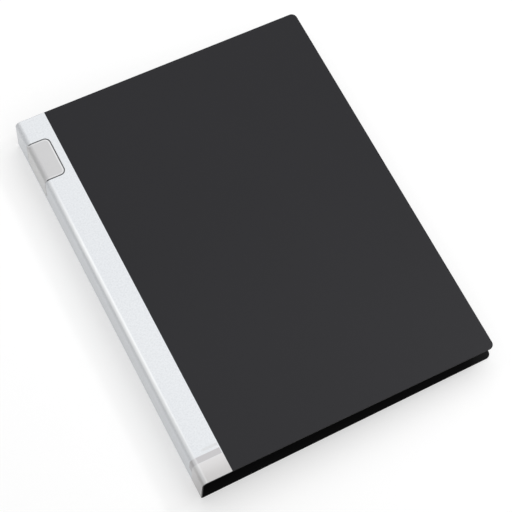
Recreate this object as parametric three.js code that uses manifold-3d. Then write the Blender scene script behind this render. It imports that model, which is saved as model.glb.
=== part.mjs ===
// Ring binder lying on its back cover: folded sheet cover, ring mechanism, label pocket.
// Millimetres. X runs from the spine to the fore edge, Y from the bottom end to the top end, Z up.
// The origin is the centre of the box's underside.
import * as THREE from "three";
import { mergeVertices } from "three/addons/utils/BufferGeometryUtils.js";
import Module from "manifold-3d";

const wasm = await Module();
wasm.setup();

// Cover
const LENGTH = 376; // along the spine
const BACK_W = 290; // back cover, from the spine's outer face to its fore edge
const FRONT_W = 288; // front cover, the same way
const SPINE_H = 42; // outer height at the spine
const FORE_H = 28; // outer height of the front cover's fore edge
const SHEET = 1.2; // sheet thickness
const FOLD_R = 3; // outer radius of the lower fold
const FOLD_RU = 5; // outer radius of the upper fold
const CORNER_R = 5.3; // rounded corners at the fore edge
const GAP = 0.3; // between touching pieces
const SLOPE = Math.atan((SPINE_H - FORE_H) / (FRONT_W - FOLD_RU));

// Label pocket, let into the sheet and running over the upper fold
const LABEL_T = 0.3;
const LABEL_Y0 = 123.4,
  LABEL_Y1 = 163.5;
const LABEL_X = 21.3; // its edge on the front cover, from the spine's outer face
const LABEL_Z = 7; // its edge on the spine
const LABEL_R = 5.5;

// Ring mechanism
const MECH_X = 24; // its middle, from the spine's outer face
const RING_Y = [-120, -40, 40, 120];
const WIRE_R = 1.6;
const RING_R = 15; // mean radius
const RING_Z = 21.2;
const RAIL_Z0 = 3,
  RAIL_Z1 = 4.2;
const RAIL_EDGE = 8.8; // outer edge of each rail, from the middle
const RAIL_END = 138;
const PLATE_END = 145;
const LEG = 10; // half width of the top plate
const RIVET_Y = [-80, 80];
const SHAFT_R = 2;
const PIN_Y = 141,
  PIN_Z = 5,
  PIN_R = 1;
const LEVER_W = 9.2;

const toRow = new THREE.Matrix4().makeTranslation(-BACK_W / 2, 0, 0);
const rad = (d) => (d * Math.PI) / 180;
const polar = (c, r, a) => [c[0] + r * Math.cos(a), c[1] + r * Math.sin(a)];

function solid(geometry) {
  const g = geometry.clone();
  g.deleteAttribute("normal");
  g.deleteAttribute("uv");
  const m = mergeVertices(g, 1e-4);
  return new wasm.Manifold(
    new wasm.Mesh({
      numProp: 3,
      vertProperties: new Float32Array(m.attributes.position.array),
      triVerts: new Uint32Array(m.index.array),
    }),
  );
}

function shapeOf(points) {
  return new THREE.Shape(points.map(([a, b]) => new THREE.Vector2(a, b)));
}

const extrude = (shape, depth) =>
  new THREE.ExtrudeGeometry(shape, {
    depth,
    bevelEnabled: false,
    curveSegments: 4,
  });

// Prisms: a profile in one plane, run along the third axis
function alongY(points, y0, y1) {
  const g = extrude(shapeOf(points), y1 - y0);
  g.rotateX(Math.PI / 2);
  g.translate(0, y1, 0);
  return solid(g);
}
function alongZ(points, z0, z1) {
  const g = extrude(shapeOf(points), z1 - z0);
  g.translate(0, 0, z0);
  return solid(g);
}
function alongX(points, x0, x1) {
  const g = extrude(shapeOf(points), x1 - x0);
  g.applyMatrix4(
    new THREE.Matrix4().makeBasis(
      new THREE.Vector3(0, 1, 0),
      new THREE.Vector3(0, 0, 1),
      new THREE.Vector3(1, 0, 0),
    ),
  );
  g.translate(x0, 0, 0);
  return solid(g);
}
function box(x0, x1, y0, y1, z0, z1) {
  const g = new THREE.BoxGeometry(x1 - x0, y1 - y0, z1 - z0);
  g.translate((x0 + x1) / 2, (y0 + y1) / 2, (z0 + z1) / 2);
  return solid(g);
}
const circle = (cx, cy, r, n) =>
  Array.from({ length: n }, (_, i) =>
    polar([cx, cy], r, ((i + 0.5) * 2 * Math.PI) / n),
  );

// Rectangle a0..a1 by b0..b1 whose corners at the a1 side are rounded
function roundedAtHigh(a0, a1, b0, b1, r, n = 6) {
  const p = [
    [a0, b1],
    [a0, b0],
  ];
  for (let i = 0; i <= n; i++)
    p.push(polar([a1 - r, b0 + r], r, rad(-90 + (90 * i) / n)));
  for (let i = 0; i <= n; i++)
    p.push(polar([a1 - r, b1 - r], r, rad((90 * i) / n)));
  return p;
}

// Cover sheet, between two depths below its outer surface. Each fold is cut in two on its 45 degree plane.
const UP = [FOLD_RU, SPINE_H - FOLD_RU];
const LOW = [FOLD_R, FOLD_R];
function arc(centre, r, a0, a1, n = 5) {
  return Array.from({ length: n + 1 }, (_, i) =>
    polar(centre, r, a0 + ((a1 - a0) * i) / n),
  );
}
function frontProfile(d0, d1, xEnd, half = GAP / 2) {
  const ro = FOLD_RU - d0,
    ri = FOLD_RU - d1,
    top = Math.PI / 2 - SLOPE;
  const outer = arc(UP, ro, rad(135) - Math.asin(half / ro), top);
  const inner = arc(UP, ri, rad(135) - Math.asin(half / ri), top);
  const end = (p) => [xEnd, p[1] - (xEnd - p[0]) * Math.tan(SLOPE)];
  return [
    ...outer,
    end(outer[outer.length - 1]),
    end(inner[inner.length - 1]),
    ...inner.reverse(),
  ];
}
function spineProfile(d0, d1, half = GAP / 2) {
  const uo = FOLD_RU - d0,
    ui = FOLD_RU - d1,
    lo = FOLD_R - d0,
    li = FOLD_R - d1;
  return [
    ...arc(UP, uo, rad(135) + Math.asin(half / uo), Math.PI),
    ...arc(LOW, lo, Math.PI, rad(225) - Math.asin(half / lo)),
    ...arc(LOW, li, rad(225) - Math.asin(half / li), Math.PI),
    ...arc(UP, ui, Math.PI, rad(135) + Math.asin(half / ui)),
  ];
}
function backProfile(d0, d1, xEnd, half = GAP / 2) {
  const ro = FOLD_R - d0,
    ri = FOLD_R - d1;
  return [
    ...arc(LOW, ro, rad(225) + Math.asin(half / ro), rad(270)),
    [xEnd, LOW[1] - ro],
    [xEnd, LOW[1] - ri],
    ...arc(LOW, ri, rad(270), rad(225) + Math.asin(half / ri)),
  ];
}

const H = LENGTH / 2;
const frontSheet = alongY(frontProfile(0, SHEET, FRONT_W + 3), -H, H)
  .intersect(
    alongZ(roundedAtHigh(-5, FRONT_W, -H - 1, H + 1, CORNER_R), -5, 60).intersect(
      alongZ(roundedAtHigh(-5, FRONT_W, -H, H, CORNER_R), -5, 60),
    ),
  );
const spineSheet = alongY(spineProfile(0, SHEET), -H, H);
const backSheet = alongY(backProfile(0, SHEET, BACK_W + 3), -H, H).intersect(
  alongZ(roundedAtHigh(-5, BACK_W, -H, H, CORNER_R), -5, 60),
);

// Label pocket and its recess
const labelFrontZone = (m) =>
  alongZ(
    roundedAtHigh(-5, LABEL_X + m, LABEL_Y0 - m, LABEL_Y1 + m, LABEL_R + m, 4),
    20,
    60,
  );
const labelSpineZone = (m) => {
  // rounded at its low edge
  const p = roundedAtHigh(
    -60,
    -LABEL_Z + m,
    LABEL_Y0 - m,
    LABEL_Y1 + m,
    LABEL_R + m,
    4,
  ).map(([a, b]) => [b, -a]);
  return alongX(p, -5, 20);
};
const labelFront = alongY(
  frontProfile(0, LABEL_T, LABEL_X + 3),
  LABEL_Y0 - 1,
  LABEL_Y1 + 1,
).intersect(labelFrontZone(0));
const labelSpine = alongY(
  spineProfile(0, LABEL_T),
  LABEL_Y0 - 1,
  LABEL_Y1 + 1,
).intersect(labelSpineZone(0));
const recess = LABEL_T + GAP;
const frontCover = frontSheet.subtract(
  alongY(
    frontProfile(-1, recess, LABEL_X + 3, -0.5),
    LABEL_Y0 - 1,
    LABEL_Y1 + 1,
  ).intersect(labelFrontZone(GAP)),
);
const spine = spineSheet.subtract(
  alongY(spineProfile(-1, recess, -0.5), LABEL_Y0 - 1, LABEL_Y1 + 1).intersect(
    labelSpineZone(GAP),
  ),
);

// Rivets: flush head in the back cover, shaft through the rails' notches, domed head on the top plate
function rivet(y) {
  const g = new THREE.LatheGeometry(
    [
      [0, 0.05],
      [3.9, 0.05],
      [3.9, 0.4],
      [SHAFT_R, 0.4],
      [SHAFT_R, 10],
      [3.6, 10],
      [3.4, 10.6],
      [2.2, 11.1],
      [0, 11.3],
    ].map(([r, z]) => new THREE.Vector2(r, z)),
    16,
  );
  g.rotateX(Math.PI / 2);
  g.translate(MECH_X, y, 0);
  return solid(g);
}
let backCover = backSheet;
for (const y of RIVET_Y) {
  backCover = backCover
    .subtract(alongZ(circle(MECH_X, y, SHAFT_R + 0.35, 16), -1, 2))
    .subtract(alongZ(circle(MECH_X, y, 4.25, 20), -1, 0.7));
}

// Top plate of the mechanism: a channel with inward lips under the rails
const halfOuter = [
  [LEG, 1.5],
  [LEG, 5],
  [9.4, 7],
  [8, 8.6],
  [5.5, 9.4],
  [0, 9.7],
];
const halfInner = [
  [0, 8.8],
  [5.3, 8.5],
  [7.4, 7.9],
  [8.5, 6.6],
  [9.1, 5],
  [9.1, 2.7],
  [7.6, 2.7],
  [7.6, 1.5],
];
const mirror = (pts) => pts.map(([x, z]) => [-x, z]).reverse();
const plateProfile = [
  ...halfOuter,
  ...mirror(halfOuter).slice(1),
  ...mirror(halfInner),
  ...halfInner.slice(1),
].map(([x, z]) => [x + MECH_X, z]);
let plate = alongY(plateProfile, -PLATE_END, PLATE_END);
for (const y of RING_Y) {
  plate = plate
    .subtract(box(MECH_X - 12, MECH_X - 4, y - 2.3, y + 2.3, 5.2, 12))
    .subtract(box(MECH_X + 4, MECH_X + 12, y - 2.3, y + 2.3, 5.2, 12));
}
for (const y of RIVET_Y)
  plate = plate.subtract(alongZ(circle(MECH_X, y, SHAFT_R + 0.35, 16), 7, 12));
for (const s of [-1, 1]) {
  const y0 = s > 0 ? 136 : -PLATE_END - 1,
    y1 = s > 0 ? PLATE_END + 1 : -136;
  plate = plate
    .subtract(box(MECH_X - 5.4, MECH_X + 5.4, y0, y1, 7.4, 12))
    .subtract(
      alongX(circle(s * PIN_Y, PIN_Z, PIN_R + 0.35, 14), MECH_X - 12, MECH_X + 12),
    );
}

// Rails: two flat strips side by side, holes for the ring ends, notches round the rivets
function rail(side) {
  const p = [
    [RAIL_EDGE, -RAIL_END],
    [RAIL_EDGE, RAIL_END],
    [0.15, RAIL_END],
  ];
  for (const y of [...RIVET_Y].reverse())
    for (let i = 0; i <= 8; i++) {
      const a = rad(90 - (180 * i) / 8);
      p.push([0.15 + 3.2 * Math.cos(a), y + 3.2 * Math.sin(a)]);
    }
  p.push([0.15, -RAIL_END]);
  const shape = shapeOf(p.map(([x, y]) => [side * x, y]));
  for (const y of RING_Y)
    shape.holes.push(
      new THREE.Path(
        circle(side * RING_END_X, y, WIRE_R + 0.42, 12).map(
          ([a, b]) => new THREE.Vector2(a, b),
        ),
      ),
    );
  const g = extrude(shape, RAIL_Z1 - RAIL_Z0);
  g.translate(MECH_X, 0, RAIL_Z0);
  return solid(g);
}

// Half ring: from its tip at the top round one side, then bent down through the rail
const BEND_R = 2.6;
const ARC_END = rad(245);
const TIP = rad(90) + 0.15 / RING_R;
const arcEndPt = polar([0, RING_Z], RING_R, ARC_END);
const bendTurn = rad(65);
const bendCentre = polar(arcEndPt, BEND_R, rad(-115));
const RING_END_X = -(bendCentre[0] + BEND_R);
const RING_FOOT = RAIL_Z0 - 0.5;
const L1 = RING_R * (ARC_END - TIP),
  L2 = BEND_R * bendTurn,
  L3 = bendCentre[1] - RING_FOOT;
class HalfRing extends THREE.Curve {
  constructor(side, y) {
    super();
    this.side = side;
    this.y = y;
  }
  getPoint(t, out = new THREE.Vector3()) {
    const s = t * (L1 + L2 + L3);
    let p;
    if (s < L1) p = polar([0, RING_Z], RING_R, TIP + s / RING_R);
    else if (s < L1 + L2)
      p = polar(bendCentre, BEND_R, bendTurn - (s - L1) / BEND_R);
    else p = [bendCentre[0] + BEND_R, bendCentre[1] - (s - L1 - L2)];
    return out.set(MECH_X - this.side * p[0], this.y, p[1]);
  }
}
function halfRing(side, y) {
  const g = new THREE.ExtrudeGeometry(shapeOf(circle(0, 0, WIRE_R, 8)), {
    steps: 24,
    bevelEnabled: false,
    extrudePath: new HalfRing(side, y),
  });
  const s = solid(g);
  return s;
}

// End lever: tab outside, hub on its pin, tongue under the rails' ends
function lever(s) {
  const flip = (pts) => {
    const q = pts.map(([y, z]) => [s * (PIN_Y + y), PIN_Z + z]);
    return s > 0 ? q : q.reverse();
  };
  const body = alongX(
    flip([
      [-1.2, -2.1],
      [1.4, -2],
      [4.6, 1],
      [8.8, 6.6],
      [10.4, 9.4],
      [10.2, 10.6],
      [9, 10.8],
      [6.6, 7.6],
      [2.8, 3],
      [0, 2.3],
      [-1.8, 1.6],
      [-2.4, 0],
      [-2, -1.4],
    ]),
    MECH_X - LEVER_W / 2,
    MECH_X + LEVER_W / 2,
  );
  const tongue = alongX(
    flip([
      [-4.4, -3.3],
      [0.6, -3.3],
      [1, -1.8],
      [-1.6, -1.8],
      [-1.9, -2.4],
      [-4.4, -2.4],
    ]),
    MECH_X - 1.5,
    MECH_X + 1.5,
  );
  return body
    .add(tongue)
    .subtract(
      alongX(circle(s * PIN_Y, PIN_Z, PIN_R + 0.35, 14), MECH_X - 12, MECH_X + 12),
    );
}
function leverPin(s) {
  return alongX(
    circle(s * PIN_Y, PIN_Z, PIN_R, 14),
    MECH_X - LEG - 0.5,
    MECH_X + LEG + 0.5,
  );
}

const MATERIALS = {
  dark: { color: 0x3a3a3d, roughness: 0.55, metalness: 0 },
  film: { color: 0xcfd0d2, roughness: 0.3, metalness: 0 },
  nickel: { color: 0xc9cbce, roughness: 0.22, metalness: 1 },
  steel: { color: 0xb4b6ba, roughness: 0.35, metalness: 1 },
};
const group = new THREE.Group();
function place(name, body, kind) {
  const m = body.getMesh();
  const g = new THREE.BufferGeometry()
    .setAttribute(
      "position",
      new THREE.BufferAttribute(new Float32Array(m.vertProperties), 3),
    )
    .setIndex(new THREE.BufferAttribute(new Uint32Array(m.triVerts), 1));
  g.applyMatrix4(toRow);
  const flat = g.toNonIndexed();
  flat.computeVertexNormals();
  const mesh = new THREE.Mesh(
    flat,
    new THREE.MeshStandardMaterial(MATERIALS[kind]),
  );
  mesh.name = name;
  group.add(mesh);
}

place("back_cover", backCover, "dark");
place("spine", spine, "dark");
place("front_cover", frontCover, "dark");
place("label_pocket_front", labelFront, "film");
place("label_pocket_spine", labelSpine, "film");
place("mechanism_plate", plate, "nickel");
RIVET_Y.forEach((y, i) => place("rivet_" + ["bottom", "top"][i], rivet(y), "nickel"));
place("rail_left", rail(-1), "steel");
place("rail_right", rail(1), "steel");
RING_Y.forEach((y, i) => place("ring_left_" + (i + 1), halfRing(-1, y), "nickel"));
RING_Y.forEach((y, i) => place("ring_right_" + (i + 1), halfRing(1, y), "nickel"));
place("lever_bottom", lever(-1), "nickel");
place("lever_top", lever(1), "nickel");
place("lever_pin_bottom", leverPin(-1), "steel");
place("lever_pin_top", leverPin(1), "steel");

export default group;
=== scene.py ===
import math

import bpy
from mathutils import Matrix, Vector


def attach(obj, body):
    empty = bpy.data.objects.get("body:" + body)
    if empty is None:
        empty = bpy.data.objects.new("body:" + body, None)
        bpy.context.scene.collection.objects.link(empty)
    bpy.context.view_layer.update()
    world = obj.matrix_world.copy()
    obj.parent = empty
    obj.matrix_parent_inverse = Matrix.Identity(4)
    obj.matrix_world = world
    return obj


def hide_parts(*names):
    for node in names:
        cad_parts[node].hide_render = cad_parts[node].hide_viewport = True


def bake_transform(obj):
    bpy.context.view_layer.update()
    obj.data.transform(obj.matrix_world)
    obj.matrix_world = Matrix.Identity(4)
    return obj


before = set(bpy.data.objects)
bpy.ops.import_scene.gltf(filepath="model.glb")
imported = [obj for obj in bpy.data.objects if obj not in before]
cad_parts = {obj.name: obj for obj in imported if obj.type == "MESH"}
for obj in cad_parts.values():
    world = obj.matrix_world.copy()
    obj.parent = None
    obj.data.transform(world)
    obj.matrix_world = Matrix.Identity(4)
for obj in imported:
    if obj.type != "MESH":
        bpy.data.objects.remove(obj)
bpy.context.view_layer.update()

MM = 0.001
L = 376.0
WB, WF = 290.0, 288.0
HS, HF = 42.0, 28.0
T = 1.2
RO = 3.0  # lower fold
RU = 5.0  # upper fold
CR = 5.3
XO = WB / 2
SLOPE = math.atan((HS - HF) / (WF - RU))
BAND = 28.6  # silver band's edge on the covers
LAB_Y0, LAB_Y1, LAB_X, LAB_R = 123.4, 163.5, 21.3, 5.5
MID = HS / 2
MX = 24.0
U_FRONT = (math.pi / 4 * RU + BAND - RU) * MM  # the band's edges, along the sheet
U_BACK = -(math.pi / 4 * RU + HS - RU - RO + math.pi / 2 * RO + BAND - RO) * MM


# ---------------------------------------------------------------- materials
class Nodes:
    def __init__(self, name):
        self.mat = bpy.data.materials.new(name)
        self.mat.use_nodes = True
        self.nt = self.mat.node_tree
        self.bsdf = self.nt.nodes["Principled BSDF"]

    def new(self, kind, **props):
        n = self.nt.nodes.new(kind)
        for k, v in props.items():
            setattr(n, k, v)
        return n

    def link(self, a, b):
        self.nt.links.new(a, b)

    def put(self, socket, v):
        if isinstance(v, (int, float)):
            socket.default_value = v
        elif isinstance(v, tuple):
            socket.default_value = v
        else:
            self.link(v, socket)

    def math(self, op, a, b=None, clamp=False):
        n = self.new("ShaderNodeMath", operation=op, use_clamp=clamp)
        self.put(n.inputs[0], a)
        if b is not None:
            self.put(n.inputs[1], b)
        return n.outputs[0]

    def step(self, v, edge, soft):
        """0 below edge, 1 above it, over a width of soft"""
        n = self.new("ShaderNodeMapRange", interpolation_type="SMOOTHSTEP")
        self.put(n.inputs["Value"], v)
        n.inputs["From Min"].default_value = edge - soft / 2
        n.inputs["From Max"].default_value = edge + soft / 2
        return n.outputs["Result"]

    def remap(self, v, a, b, c, d):
        n = self.new("ShaderNodeMapRange")
        self.put(n.inputs["Value"], v)
        for k, x in (("From Min", a), ("From Max", b), ("To Min", c), ("To Max", d)):
            n.inputs[k].default_value = x
        return n.outputs["Result"]

    def mix(self, fac, a, b, blend="MIX"):
        n = self.new("ShaderNodeMix", data_type="RGBA", blend_type=blend)
        self.put(n.inputs["Factor"], fac)
        self.put(n.inputs[6], a)
        self.put(n.inputs[7], b)
        return n.outputs[2]

    def uv(self):
        c = self.new("ShaderNodeUVMap", uv_map="path")
        s = self.new("ShaderNodeSeparateXYZ")
        self.link(c.outputs[0], s.inputs[0])
        return c.outputs[0], s.outputs[0], s.outputs[1]

    def obj(self):
        return self.new("ShaderNodeTexCoord").outputs["Object"]

    def noise(self, coord, scale, detail=3.0, rough=0.5):
        n = self.new("ShaderNodeTexNoise")
        self.link(coord, n.inputs["Vector"])
        n.inputs["Scale"].default_value = scale
        n.inputs["Detail"].default_value = detail
        n.inputs["Roughness"].default_value = rough
        return n.outputs["Fac"]

    def bump(self, height, strength, distance):
        n = self.new("ShaderNodeBump")
        n.inputs["Strength"].default_value = strength
        n.inputs["Distance"].default_value = distance
        self.put(n.inputs["Height"], height)
        self.link(n.outputs[0], self.bsdf.inputs["Normal"])


def grey(v, tint=(1.0, 1.0, 1.0)):
    return (v * tint[0], v * tint[1], v * tint[2], 1.0)


def cover_outer():
    """Matte dark sheet; silver print round the spine, with its stripe; u is the way along the sheet from the upper fold, v the height on it, both in metres"""
    m = Nodes("cover_outer")
    co, u, v = m.uv()
    # sheet: very fine matte grain, broad soft tone changes
    fine = m.noise(co, 2600.0, 2.0, 0.6)
    broad = m.noise(co, 7.0, 2.0, 0.5)
    dark = m.mix(broad, grey(0.0030, (1.0, 0.97, 1.9)), grey(0.0050, (1.0, 0.97, 1.7)))
    dark = m.mix(m.remap(fine, 0.35, 0.7, 0.0, 0.35), dark, grey(0.008, (1.0, 1.0, 1.3)))
    # print: pale silver with pearl speckle
    speck = m.noise(co, 1500.0, 1.0, 0.5)
    silver = m.mix(broad, grey(0.765, (0.95, 0.985, 1.03)), grey(0.795, (0.965, 0.99, 1.015)))
    silver = m.mix(
        m.remap(speck, 0.52, 0.72, 0.0, 0.4), silver, grey(0.60, (1.0, 1.0, 1.02))
    )
    pearl = m.noise(co, 620.0, 2.0, 0.7)
    silver = m.mix(
        m.remap(pearl, 0.5, 0.68, 0.0, 0.32), silver, grey(0.61, (0.97, 0.99, 1.02))
    )
    silver = m.mix(m.remap(pearl, 0.5, 0.34, 0.0, 0.36), silver, grey(0.86, (0.98, 0.99, 1.01)))
    yb = m.math("ADD", v, L / 2 * MM)  # height above the bottom end
    # last centimetres under the stripe, a warmer and darker tone
    low = m.math("SUBTRACT", 1.0, m.step(yb, 0.0185, 0.004))
    fade = m.mix(m.step(yb, 0.010, 0.018), grey(0.53, (1.0, 0.975, 0.965)), grey(0.69, (1.0, 0.98, 0.98)))
    silver = m.mix(m.math("MULTIPLY", low, 0.9), silver, fade)
    # the stripe, from the band's edge over the fold
    s1 = m.math("MULTIPLY", m.step(yb, 0.0183, 0.0006), m.math("SUBTRACT", 1.0, m.step(yb, 0.0237, 0.0006)))
    s1 = m.math("MULTIPLY", s1, m.math("SUBTRACT", 1.0, m.step(u, U_FRONT - 0.0007, 0.0005)))
    s1 = m.math("MULTIPLY", s1, m.step(u, -0.018, 0.0016))
    silver = m.mix(m.math("MULTIPLY", s1, 0.95), silver, grey(0.53, (1.0, 0.98, 1.0)))
    # the thin line above it
    s2 = m.math("MULTIPLY", m.step(yb, 0.0262, 0.0006), m.math("SUBTRACT", 1.0, m.step(yb, 0.0285, 0.0012)))
    s2 = m.math("MULTIPLY", s2, m.math("SUBTRACT", 1.0, m.step(u, U_FRONT - 0.0007, 0.0005)))
    s2 = m.math("MULTIPLY", s2, m.step(u, 0.013, 0.003))
    silver = m.mix(m.math("MULTIPLY", s2, 0.45), silver, grey(0.6))
    # painted highlight along the crease of the upper fold: a lighter, cooler colour that fades out towards the bottom
    # and top ends
    crease_highlight_band = m.math("MULTIPLY", m.step(u, 0.0006, 0.0020), m.math("SUBTRACT", 1.0, m.step(u, 0.0042, 0.0020)))
    # how strong the painted crease highlight is along the height of the fold
    fold_highlight_fade = m.math("MULTIPLY", m.remap(yb, 0.0, 0.10, 0.35, 0.95), m.remap(yb, 0.24, 0.33, 1.0, 0.1))
    silver = m.mix(m.math("MULTIPLY", crease_highlight_band, fold_highlight_fade), silver, grey(0.99, (0.985, 1.0, 1.01)))
    # where the print ends, on the front cover and on the back cover
    front = m.step(u, U_FRONT, 0.00016)
    back = m.math("SUBTRACT", 1.0, m.step(u, U_BACK, 0.00016))
    black = m.math("MAXIMUM", front, back)
    m.link(m.mix(black, silver, dark), m.bsdf.inputs["Base Color"])
    rough = m.mix(black, grey(0.37), grey(0.45))
    m.link(rough, m.bsdf.inputs["Roughness"])
    m.bsdf.inputs["Specular IOR Level"].default_value = 0.17
    m.link(m.math("MULTIPLY", m.math("SUBTRACT", 1.0, black), 0.16), m.bsdf.inputs["Metallic"])
    # rubbed smoother on the crease; the dark sheet has a faint sheen of its own
    shine = m.math("MULTIPLY", crease_highlight_band, fold_highlight_fade)
    m.link(m.math("MAXIMUM", shine, m.math("MULTIPLY", black, 0.09)), m.bsdf.inputs["Coat Weight"])
    m.bsdf.inputs["Coat Roughness"].default_value = 0.22
    m.bump(m.math("MULTIPLY", fine, 0.7), 0.22, 0.00006)
    return m.mat


def cover_inner():
    m = Nodes("cover_inner")
    co, u, v = m.uv()
    fine = m.noise(co, 2200.0, 2.0, 0.6)
    broad = m.noise(co, 9.0, 2.0, 0.5)
    c = m.mix(broad, grey(0.0035, (1, 1, 1.1)), grey(0.005, (1, 1, 1.1)))
    c = m.mix(m.remap(fine, 0.4, 0.7, 0.0, 0.3), c, grey(0.008))
    m.link(c, m.bsdf.inputs["Base Color"])
    m.link(m.remap(m.noise(co, 70.0), 0.3, 0.7, 0.6, 0.7), m.bsdf.inputs["Roughness"])
    m.bsdf.inputs["Specular IOR Level"].default_value = 0.14
    m.bump(fine, 0.25, 0.00006)
    return m.mat


def cover_edge():
    """Cut edge of the sheet: duller and lighter, paler where the print reaches it"""
    m = Nodes("cover_edge")
    co, u, v = m.uv()
    n = m.noise(co, 900.0, 3.0, 0.7)
    front = m.step(u, U_FRONT, 0.0006)
    back = m.math("SUBTRACT", 1.0, m.step(u, U_BACK, 0.0006))
    black = m.math("MAXIMUM", front, back)
    lo = m.mix(n, grey(0.045, (0.97, 1.0, 0.97)), grey(0.09, (0.97, 1.0, 0.97)))
    hi = m.mix(n, grey(0.008), grey(0.016))
    m.link(m.mix(black, lo, hi), m.bsdf.inputs["Base Color"])
    m.link(m.remap(n, 0.2, 0.8, 0.55, 0.8), m.bsdf.inputs["Roughness"])
    m.bsdf.inputs["Specular IOR Level"].default_value = 0.2
    m.bump(n, 0.3, 0.00008)
    return m.mat


def label_face():
    """Grey card under clear film, thin dark outline on the front cover"""
    m = Nodes("label_face")
    co, u, v = m.uv()
    u0 = -0.012  # the outline's rectangle runs on over the fold
    u1 = (LAB_X - RU + math.pi / 4 * RU) * MM
    cu, cv = (u0 + u1) / 2, (LAB_Y0 + LAB_Y1) / 2 * MM
    hu, hv, r = (u1 - u0) / 2, (LAB_Y1 - LAB_Y0) / 2 * MM, LAB_R * MM
    pu = m.math("SUBTRACT", m.math("ABSOLUTE", m.math("SUBTRACT", u, cu)), hu - r)
    pv = m.math("SUBTRACT", m.math("ABSOLUTE", m.math("SUBTRACT", v, cv)), hv - r)
    pu = m.math("MAXIMUM", pu, 0.0)
    pv = m.math("MAXIMUM", pv, 0.0)
    d = m.math("SQRT", m.math("ADD", m.math("MULTIPLY", pu, pu), m.math("MULTIPLY", pv, pv)))
    d = m.math("SUBTRACT", d, r)  # 0 on the outline's outer edge, negative inside
    n = m.noise(co, 40.0, 3.0, 0.6)
    fibre = m.noise(co, 1800.0, 2.0, 0.6)
    card = m.mix(n, grey(0.585, (1.0, 0.995, 1.01)), grey(0.635, (1.0, 1.0, 1.005)))
    card = m.mix(m.remap(fibre, 0.5, 0.75, 0.0, 0.2), card, grey(0.5))
    margin = m.step(d, -0.0021, 0.0009)
    card = m.mix(margin, card, grey(0.78, (0.99, 0.995, 1.01)))
    onfront = m.step(u, 0.0006, 0.0008)
    line = m.math("MULTIPLY", m.step(d, -0.00088, 0.00012), onfront)
    # the film's run over the fold is a little darker
    col = m.mix(m.math("SUBTRACT", 1.0, m.step(u, 0.0, 0.003)), card, grey(0.60))
    col = m.mix(line, col, grey(0.022, (0.97, 1.0, 1.05)))
    m.link(col, m.bsdf.inputs["Base Color"])
    m.link(m.remap(n, 0.3, 0.7, 0.3, 0.38), m.bsdf.inputs["Roughness"])
    m.bsdf.inputs["Coat Weight"].default_value = 0.35
    m.bsdf.inputs["Coat Roughness"].default_value = 0.16
    # a faint wave in the film
    wave = m.noise(co, 60.0, 1.0, 0.4)
    m.bump(m.math("ADD", m.math("MULTIPLY", wave, 1.0), m.math("MULTIPLY", fibre, 0.05)), 0.35, 0.0004)
    return m.mat


def metal(name, tone, r0, r1, brushed=0.0, tint=(1.0, 1.0, 1.0)):
    m = Nodes(name)
    co = m.obj()
    n = m.noise(co, 45.0, 4.0, 0.6)
    f = m.noise(co, 900.0, 2.0, 0.6)
    c = m.mix(n, grey(tone * 0.93, tint), grey(tone, tint))
    m.link(c, m.bsdf.inputs["Base Color"])
    m.bsdf.inputs["Metallic"].default_value = 1.0
    h = f
    if brushed:
        mp = m.new("ShaderNodeMapping")
        m.link(co, mp.inputs["Vector"])
        mp.inputs["Scale"].default_value = (1.0, 0.02, 1.0)
        s = m.noise(mp.outputs[0], 2400.0, 2.0, 0.6)
        m.link(m.math("ADD", m.remap(n, 0.3, 0.7, r0, r1), m.remap(s, 0.3, 0.7, -0.05, 0.08)), m.bsdf.inputs["Roughness"])
        h = s
    else:
        m.link(m.remap(n, 0.3, 0.7, r0, r1), m.bsdf.inputs["Roughness"])
    m.bump(h, 0.12 + brushed * 0.15, 0.00004)
    return m.mat


OUTER, INNER, EDGE, LABEL = cover_outer(), cover_inner(), cover_edge(), label_face()
NICKEL = metal("nickel_plate", 0.74, 0.13, 0.24, tint=(1.0, 0.985, 0.955))
PRESSED = metal("pressed_steel", 0.68, 0.22, 0.34, brushed=1.0, tint=(1.0, 0.99, 0.97))
DULL = metal("dull_steel", 0.5, 0.34, 0.46, brushed=1.0)


# ---------------------------------------------------------------- cover sheets
UPC, LOC = (RU, HS - RU), (RO, RO)


def path(s):
    """(x, z), outward normal (x, z) at way s along the outer surface: 0 on the upper fold's middle, positive on the front cover"""
    top = math.pi / 4 * RU
    turn = math.pi / 2 - SLOPE
    front = RU * (math.radians(135) - turn)
    down = top + (HS - RU - RO)
    low = down + math.pi / 2 * RO
    if s >= front:
        n = (math.cos(turn), math.sin(turn))
        p = (UPC[0] + RU * n[0], UPC[1] + RU * n[1])
        k = s - front
        return (p[0] + k * math.cos(SLOPE), p[1] - k * math.sin(SLOPE)), n
    if s >= -top:
        a = math.radians(135) - s / RU
        n = (math.cos(a), math.sin(a))
        return (UPC[0] + RU * n[0], UPC[1] + RU * n[1]), n
    if s >= -down:
        return (0.0, HS - RU - (-s - top)), (-1.0, 0.0)
    if s >= -low:
        a = math.pi + (-s - down) / RO
        n = (math.cos(a), math.sin(a))
        return (LOC[0] + RO * n[0], LOC[1] + RO * n[1]), n
    return (RO + (-s - low), 0.0), (0.0, -1.0)


FRONT_S = RU * (math.radians(135) - (math.pi / 2 - SLOPE))
S_FRONT_END = FRONT_S + (WF - (UPC[0] + RU * math.sin(SLOPE))) / math.cos(SLOPE)
S_MID = -(math.pi / 4 * RU + (HS / 2 - RU))
S_LOW0 = -(math.pi / 4 * RU + HS - RU - RO)
S_LOW1 = S_LOW0 - math.pi / 2 * RO
S_BACK_END = S_LOW1 - (WB - RO)


def spread(a, b, n):
    return [a + (b - a) * i / n for i in range(n + 1)]


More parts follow.
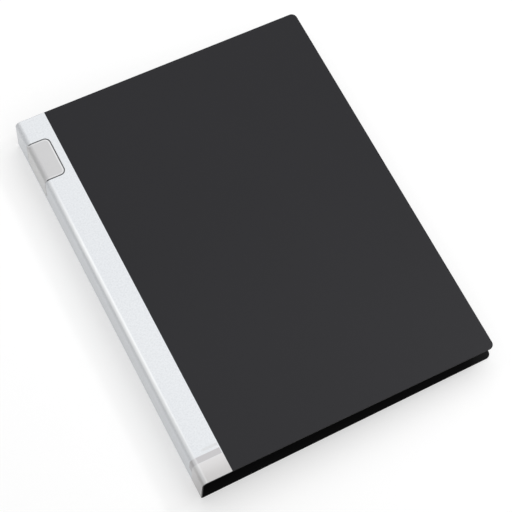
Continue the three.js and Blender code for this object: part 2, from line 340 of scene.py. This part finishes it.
def sheet(name, stations, s_end, sign, proud, ycount=48):
    """One cover sheet over the stations s; s_end is its fore edge with rounded corners, sign its side of the stations"""
    ys = spread(-1.0, 1.0, ycount)

    def half(s, inset):
        k = (s_end - s) * sign  # from the fore edge
        r = CR - inset
        k = k - inset
        h = L / 2 - inset
        if k >= r:
            return h
        k = max(k, 0.0)
        return h - (r - math.sqrt(max(r * r - (r - k) ** 2, 0.0)))

    def point(s, y, inset, depth):
        if (s_end - s) * sign < inset:
            s = s_end - inset * sign
        (x, z), n = path(s)
        d = depth + proud(s) * (1 - depth / T)
        hy = half(s, inset)
        return ((x - n[0] * d - XO) * MM, y * hy * MM, (z - n[1] * d) * MM), (s * MM, y * hy * MM)

    rows = []
    verts, uvs, faces, mats = [], [], [], []

    def grid(inset, depth):
        ids = []
        for s in stations:
            col = []
            for y in ys:
                p, t = point(s, y, inset, depth)
                col.append(len(verts))
                verts.append(p)
                uvs.append(t)
            ids.append(col)
        return ids

    b = 0.16
    levels = [(b, 0.0), (0.0, b), (0.0, T - b), (b, T)]
    grids = [grid(i, d) for i, d in levels]
    ns, ny = len(stations), len(ys)

    def quad(a, q, c, d, m, flip=False):
        f = (a, q, c, d)
        faces.append(f[::-1] if flip else f)
        mats.append(m)

    up = sign > 0  # whether s grows with +X on the outer face
    for i in range(ns - 1):
        for j in range(ny - 1):
            o = grids[0]
            quad(o[i][j], o[i + 1][j], o[i + 1][j + 1], o[i][j + 1], 0)
            o = grids[3]
            quad(o[i][j], o[i][j + 1], o[i + 1][j + 1], o[i + 1][j], 1)
    for k in range(3):
        g, h = grids[k], grids[k + 1]
        mt = 2
        for i in range(ns - 1):
            quad(g[i][0], h[i][0], h[i + 1][0], g[i + 1][0], mt)
            quad(g[i][-1], g[i + 1][-1], h[i + 1][-1], h[i][-1], mt)
        for e in (0, ns - 1):
            if (e == ns - 1) == (stations[-1] == s_end) and stations[e] == s_end:
                for j in range(ny - 1):
                    if e:
                        quad(g[e][j], h[e][j], h[e][j + 1], g[e][j + 1], mt)
                    else:
                        quad(g[e][j], g[e][j + 1], h[e][j + 1], h[e][j], mt)
    me = bpy.data.meshes.new(name)
    me.from_pydata(verts, [], faces)
    layer = me.uv_layers.new(name="path")
    for poly in me.polygons:
        poly.material_index = mats[poly.index]
        poly.use_smooth = mats[poly.index] != 2
        for li in poly.loop_indices:
            layer.data[li].uv = uvs[me.loops[li].vertex_index]
    for m in (OUTER, INNER, EDGE):
        me.materials.append(m)
    me.validate()
    me.update()
    sides = {}
    for poly in me.polygons:
        for key in poly.edge_keys:
            sides.setdefault(key, set()).add(poly.material_index)
    for e in me.edges:
        e.use_edge_sharp = len(sides.get(e.key, ())) > 1
    o = bpy.data.objects.new(name, me)
    bpy.context.scene.collection.objects.link(o)
    return o


def corner_stations(s_end, sign, n=9):
    """Ways near the fore edge, close together where the corner turns"""
    out = []
    for i in range(1, n + 1):
        a = math.pi / 2 * i / n
        out.append(s_end - sign * CR * (1 - math.sin(a)))
    return [s_end - sign * CR] + out


def smooth(t):
    t = min(max(t, 0.0), 1.0)
    return t * t * (3 - 2 * t)


front_st = (
    spread(S_MID, -math.pi / 4 * RU, 10)
    + spread(-math.pi / 4 * RU, FRONT_S, 16)[1:]
    + spread(FRONT_S, S_FRONT_END - CR, 60)[1:]
    + corner_stations(S_FRONT_END, 1)[1:]
)
back_st = (
    spread(S_MID, S_LOW0, 10)
    + spread(S_LOW0, S_LOW1, 14)[1:]
    + spread(S_LOW1, S_BACK_END + CR, 60)[1:]
    + corner_stations(S_BACK_END, -1)[1:]
)[::-1]
upper = sheet(
    "cover_sheet_upper",
    front_st,
    S_FRONT_END,
    1,
    lambda s: 0.1,
)
lower = sheet(
    "cover_sheet_lower",
    back_st,
    S_BACK_END,
    -1,
    lambda s: 0.1 * smooth((s - S_LOW0) / 3.5),
)


# ---------------------------------------------------------------- label film
def label():
    s0, s1 = -(math.pi / 4 * RU + (HS - RU - 7.0)), FRONT_S + (LAB_X - RU) / math.cos(SLOPE)
    verts, uvs, faces, mats = [], [], [], []
    r = LAB_R
    st = []
    for i in range(9):
        a = math.pi / 2 * i / 8
        st.append(s0 + r * (1 - math.cos(a)))
    st += spread(s0 + r, -math.pi / 4 * RU, 14)[1:]
    st += spread(-math.pi / 4 * RU, FRONT_S, 16)[1:]
    st += spread(FRONT_S, s1 - r, 10)[1:]
    for i in range(1, 9):
        a = math.pi / 2 * i / 8
        st.append(s1 - r * (1 - math.sin(a)))
    ym, hy = (LAB_Y0 + LAB_Y1) / 2, (LAB_Y1 - LAB_Y0) / 2
    ys = spread(-1.0, 1.0, 16)

    def half(s):
        k = min(s - s0, s1 - s)
        if k >= r:
            return hy
        return hy - (r - math.sqrt(max(r * r - (r - k) ** 2, 0.0)))

    grids = []
    for depth in (0.0, 0.3):
        ids = []
        for s in st:
            (x, z), n = path(s)
            col = []
            for y in ys:
                yy = ym + y * half(s)
                col.append(len(verts))
                verts.append(((x - n[0] * depth - XO) * MM, yy * MM, (z - n[1] * depth) * MM))
                uvs.append((s * MM, yy * MM))
            ids.append(col)
        grids.append(ids)
    g, h = grids
    ns, ny = len(st), len(ys)
    for i in range(ns - 1):
        for j in range(ny - 1):
            faces.append((g[i][j], g[i + 1][j], g[i + 1][j + 1], g[i][j + 1]))
            faces.append((h[i][j], h[i][j + 1], h[i + 1][j + 1], h[i + 1][j]))
        faces.append((g[i][0], h[i][0], h[i + 1][0], g[i + 1][0]))
        faces.append((g[i][-1], g[i + 1][-1], h[i + 1][-1], h[i][-1]))
    for j in range(ny - 1):
        faces.append((g[-1][j], h[-1][j], h[-1][j + 1], g[-1][j + 1]))
        faces.append((g[0][j], g[0][j + 1], h[0][j + 1], h[0][j]))
    me = bpy.data.meshes.new("label_pocket")
    me.from_pydata(verts, [], faces)
    layer = me.uv_layers.new(name="path")
    for poly in me.polygons:
        poly.use_smooth = abs(poly.normal.y) < 0.5
        for li in poly.loop_indices:
            layer.data[li].uv = uvs[me.loops[li].vertex_index]
    me.materials.append(LABEL)
    me.validate()
    o = bpy.data.objects.new("label_pocket", me)
    bpy.context.scene.collection.objects.link(o)
    return o


film = label()


# ---------------------------------------------------------------- rings and small turned parts
def link(name, verts, faces, mat, smooth_all=True):
    me = bpy.data.meshes.new(name)
    me.from_pydata(verts, [], faces)
    for p in me.polygons:
        p.use_smooth = smooth_all
    me.materials.append(mat)
    me.validate()
    me.update()
    o = bpy.data.objects.new(name, me)
    bpy.context.scene.collection.objects.link(o)
    return o


RR, RZ, WR, BR = 15.0, 21.2, 1.47, 2.6
ARC1 = math.radians(245)
ARC0 = math.radians(90) + 0.15 / RR
END = (RR * math.cos(ARC1), RZ + RR * math.sin(ARC1))
BC = (END[0] + BR * math.cos(math.radians(-115)), END[1] + BR * math.sin(math.radians(-115)))


def ring_path(n_arc=44, n_bend=12):
    out = []
    for i in range(n_arc + 1):
        a = ARC0 + (ARC1 - ARC0) * i / n_arc
        out.append(((RR * math.cos(a), RZ + RR * math.sin(a)), (-math.sin(a), math.cos(a))))
    for i in range(1, n_bend + 1):
        a = math.radians(65) * (1 - i / n_bend)
        out.append(((BC[0] + BR * math.cos(a), BC[1] + BR * math.sin(a)), (math.sin(a), -math.cos(a))))
    x = BC[0] + BR
    for z in (4.4, 3.4, 2.52):
        out.append(((x, z), (0.0, -1.0)))
    return out


def half_ring(name, side, y, n=24):
    pts = ring_path()
    verts, faces = [], []
    k = len(pts)
    # radius, with a small chamfer at each end
    stations = []
    for i, (p, t) in enumerate(pts):
        stations.append((p, t, WR))
    p, t = pts[0]
    q = (p[0] + t[0] * 0.22, p[1] + t[1] * 0.22)
    stations[0] = (q, t, WR)
    stations.insert(0, (p, t, WR - 0.2))
    p, t = pts[-1]
    q = (p[0] - t[0] * 0.25, p[1] - t[1] * 0.25)
    stations[-1] = (q, t, WR)
    stations.append((p, t, WR - 0.25))
    for p, t, r in stations:
        nx, nz = -t[1], t[0]
        for j in range(n):
            a = 2 * math.pi * j / n
            c, s = math.cos(a) * r, math.sin(a) * r
            x, z = p[0] + nx * c, p[1] + nz * c
            verts.append(((MX - side * x - XO) * MM, (y + s) * MM, z * MM))
    m = len(stations)
    for i in range(m - 1):
        for j in range(n):
            a, b2 = i * n + j, i * n + (j + 1) % n
            faces.append((a, b2, b2 + n, a + n))
    faces.append(tuple(reversed(range(n))))
    faces.append(tuple((m - 1) * n + j for j in range(n)))
    if side < 0:
        faces = [f[::-1] for f in faces]
    return link(name, verts, faces, NICKEL)


def turned(name, profile, centre, axis, mat, n=40):
    """profile of (radius, height) turned round an axis through centre"""
    verts, faces = [], []
    for r, h in profile:
        for j in range(n):
            a = 2 * math.pi * j / n
            p = (r * math.cos(a), r * math.sin(a), h)
            if axis == "x":
                p = (h, p[0], p[1])
            verts.append(tuple(((c + q) * MM) for c, q in zip(centre, p)))
    m = len(profile)
    for i in range(m - 1):
        for j in range(n):
            a, b2 = i * n + j, i * n + (j + 1) % n
            faces.append((a, b2, b2 + n, a + n))
    faces.append(tuple(reversed(range(n))))
    faces.append(tuple((m - 1) * n + j for j in range(n)))
    o = link(name, verts, faces, mat)
    for p in o.data.polygons:
        p.use_smooth = len(p.vertices) == 4 and p.area > 0
    return o


pieces = []
for side, word in ((-1, "left"), (1, "right")):
    for i, y in enumerate((-120, -40, 40, 120)):
        nm = f"ring_{word}_{i + 1}"
        o = half_ring(nm + "_wire", side, y)
        pieces.append((o, "rings_" + word, nm))
for word, y in (("bottom", -80), ("top", 80)):
    prof = [(0.4, 0.05), (3.6, 0.05), (3.8, 0.2), (3.8, 0.4), (1.95, 0.41), (1.95, 10.0), (3.45, 10.01), (3.55, 10.15)]
    for i in range(1, 9):
        a = math.pi / 2 * i / 8
        prof.append((3.55 * math.cos(a) + 0.05, 10.2 + 1.05 * math.sin(a)))
    o = turned("rivet_" + word + "_turned", prof, (MX - XO, y, 0), "z", NICKEL)
    pieces.append((o, "back", "rivet_" + word))
for word, s in (("bottom", -1), ("top", 1)):
    prof = [(0.3, -10.45), (0.75, -10.45), (0.94, -10.25), (0.94, 10.25), (0.75, 10.45), (0.3, 10.45)]
    o = turned("lever_pin_" + word + "_turned", prof, (MX - XO, s * 141, 5), "x", DULL, 24)
    pieces.append((o, "back", "lever_pin_" + word))

for node, mat in (
    ("mechanism_plate", PRESSED),
    ("rail_left", DULL),
    ("rail_right", DULL),
    ("lever_bottom", PRESSED),
    ("lever_top", PRESSED),
):
    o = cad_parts[node]
    o.data.materials.clear()
    o.data.materials.append(mat)

for o, body, node in pieces:
    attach(o, body)
    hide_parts(node)

# the sheets and the film are baked into world space; the CAD covers, spine and label pieces are hidden
d = 2.6
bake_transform(lower)
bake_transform(upper)
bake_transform(film)
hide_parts("back_cover")
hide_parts("front_cover", "spine")
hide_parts("label_pocket_front", "label_pocket_spine")

# ---------------------------------------------------------------- stage
me = bpy.data.meshes.new("floor")
me.from_pydata([(-6, -6, 0), (6, -6, 0), (6, 6, 0), (-6, 6, 0)], [], [(0, 1, 2, 3)])
floor = bpy.data.objects.new("floor", me)
bpy.context.scene.collection.objects.link(floor)
fm = Nodes("floor")
n = fm.noise(fm.obj(), 3.0, 2.0, 0.5)
fm.link(fm.mix(n, grey(0.60), grey(0.62)), fm.bsdf.inputs["Base Color"])
fm.bsdf.inputs["Emission Color"].default_value = (1.0, 1.0, 1.0, 1.0)
fm.bsdf.inputs["Emission Strength"].default_value = 0.46
fm.bsdf.inputs["Roughness"].default_value = 0.85
fm.bsdf.inputs["Specular IOR Level"].default_value = 0.2
me.materials.append(fm.mat)


def area(name, loc, size, power, target=(0.0, 0.0, 0.0), tint=(1, 1, 1)):
    ld = bpy.data.lights.new(name, "AREA")
    ld.shape = "RECTANGLE"
    ld.size, ld.size_y = size
    ld.energy = power
    ld.color = tint
    lo = bpy.data.objects.new(name, ld)
    lo.location = loc
    lo.rotation_euler = (Vector(target) - Vector(loc)).to_track_quat("-Z", "Y").to_euler()
    bpy.context.scene.collection.objects.link(lo)
    return lo


area("key", (0.75, 1.1, 2.1), (2.2, 2.2), 24.0)
area("fill", (0.9, -1.5, 1.7), (1.8, 1.8), 4.0)
area("glint", (1.09, -0.08, 1.55), (0.35, 0.22), 4.0)
area("fold", (-0.85, 0.75, 1.5), (0.5, 0.5), 1.2)
area("over", (0.8, -0.2, 2.6), (2.0, 2.0), 12.0)

world = bpy.data.worlds.new("studio")
world.use_nodes = True
world.node_tree.nodes["Background"].inputs[0].default_value = (1.0, 1.0, 1.0, 1.0)
world.node_tree.nodes["Background"].inputs[1].default_value = 0.37
bpy.context.scene.world = world
bpy.context.scene.view_settings.view_transform = "Standard"
bpy.context.scene.view_settings.look = "None"

cam_data = bpy.data.cameras.new("camera")
cam = bpy.data.objects.new("camera", cam_data)
F = 1698.263
R = (
    (0.88743, -0.458551, 0.046885),
    (-0.406261, -0.826152, -0.390416),
    (0.21776, 0.327419, -0.919444),
)
cam_data.sensor_width = 36.0
cam_data.lens = F / 512.0 * 36.0
cam_data.shift_x = 12.28 / 512.0
cam_data.shift_y = -0.93 / 512.0
cam_data.clip_start = 0.05
cam_data.clip_end = 30.0
right, up, back = Vector(R[0]), -Vector(R[1]), -Vector(R[2])
mw = Matrix.Identity(4)
for i in range(3):
    mw[i][0], mw[i][1], mw[i][2] = right[i], up[i], back[i]
mw[0][3], mw[1][3], mw[2][3] = -0.3442, -0.50806, 1.41825
cam.matrix_world = mw
bpy.context.scene.collection.objects.link(cam)
bpy.context.scene.camera = cam
